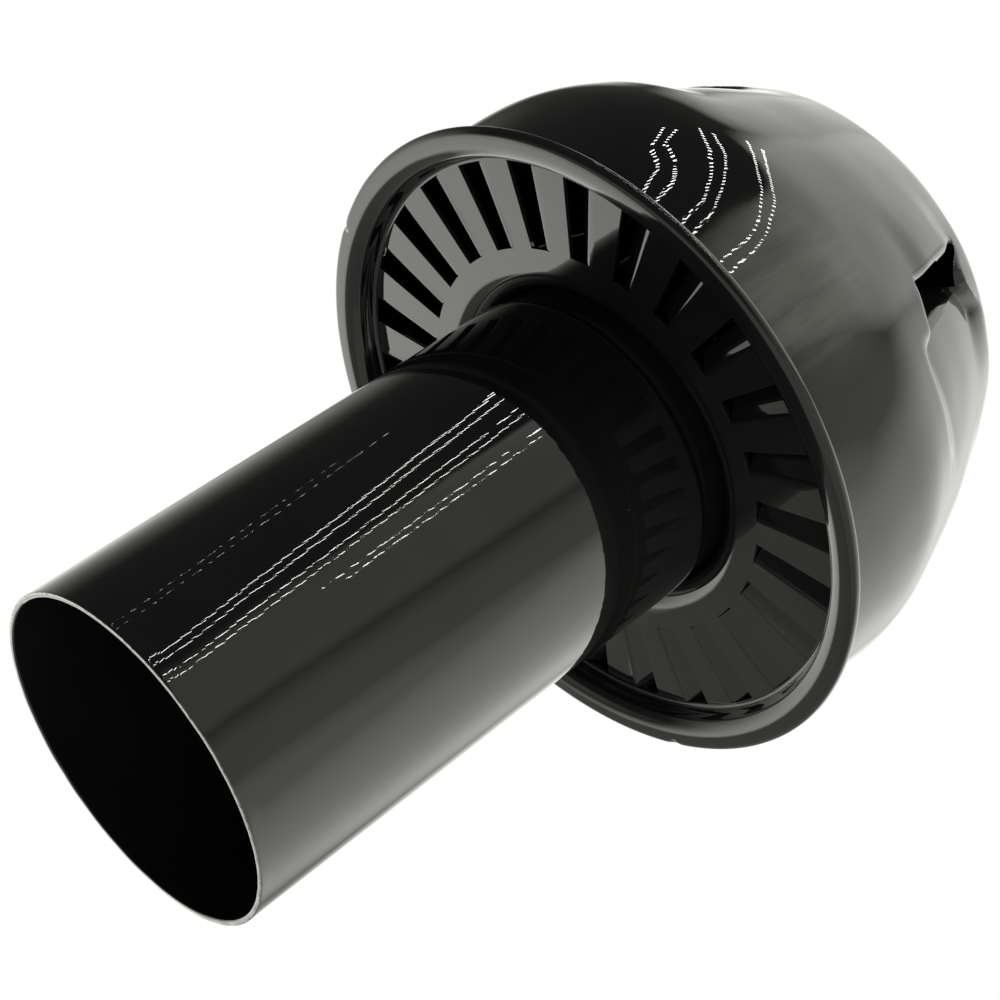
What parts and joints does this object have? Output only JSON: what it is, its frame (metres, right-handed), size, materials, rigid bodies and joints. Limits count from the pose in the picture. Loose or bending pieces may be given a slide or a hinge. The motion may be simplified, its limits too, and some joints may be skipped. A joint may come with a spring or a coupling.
{
  "type": "centrifugal air intake cover",
  "caption": "Mushroom air intake cover: a domed steel cap with side ejection ports, a ring of slanted swirl vanes and a straight connection tube.",
  "frame": {"origin": "centre of the tube's open end", "axes": "+Z along the tube's axis, from its open end to the dome; +X and +Y across, with the first ejection port's leading edge 9 degrees from +X"},
  "size_m": [0.124, 0.124, 0.1748],
  "materials": {
    "tube_paint": "gloss",
    "plate_paint": "gloss",
    "dome_paint": "gloss",
    "braze": "painted over, satin"
  },
  "bodies": {
    "root": {"connection_tube": "tube_paint", "neck_braze": "braze", "vane_plate": "plate_paint", "dome_shell": "dome_paint"}
  },
  "joints": []
}
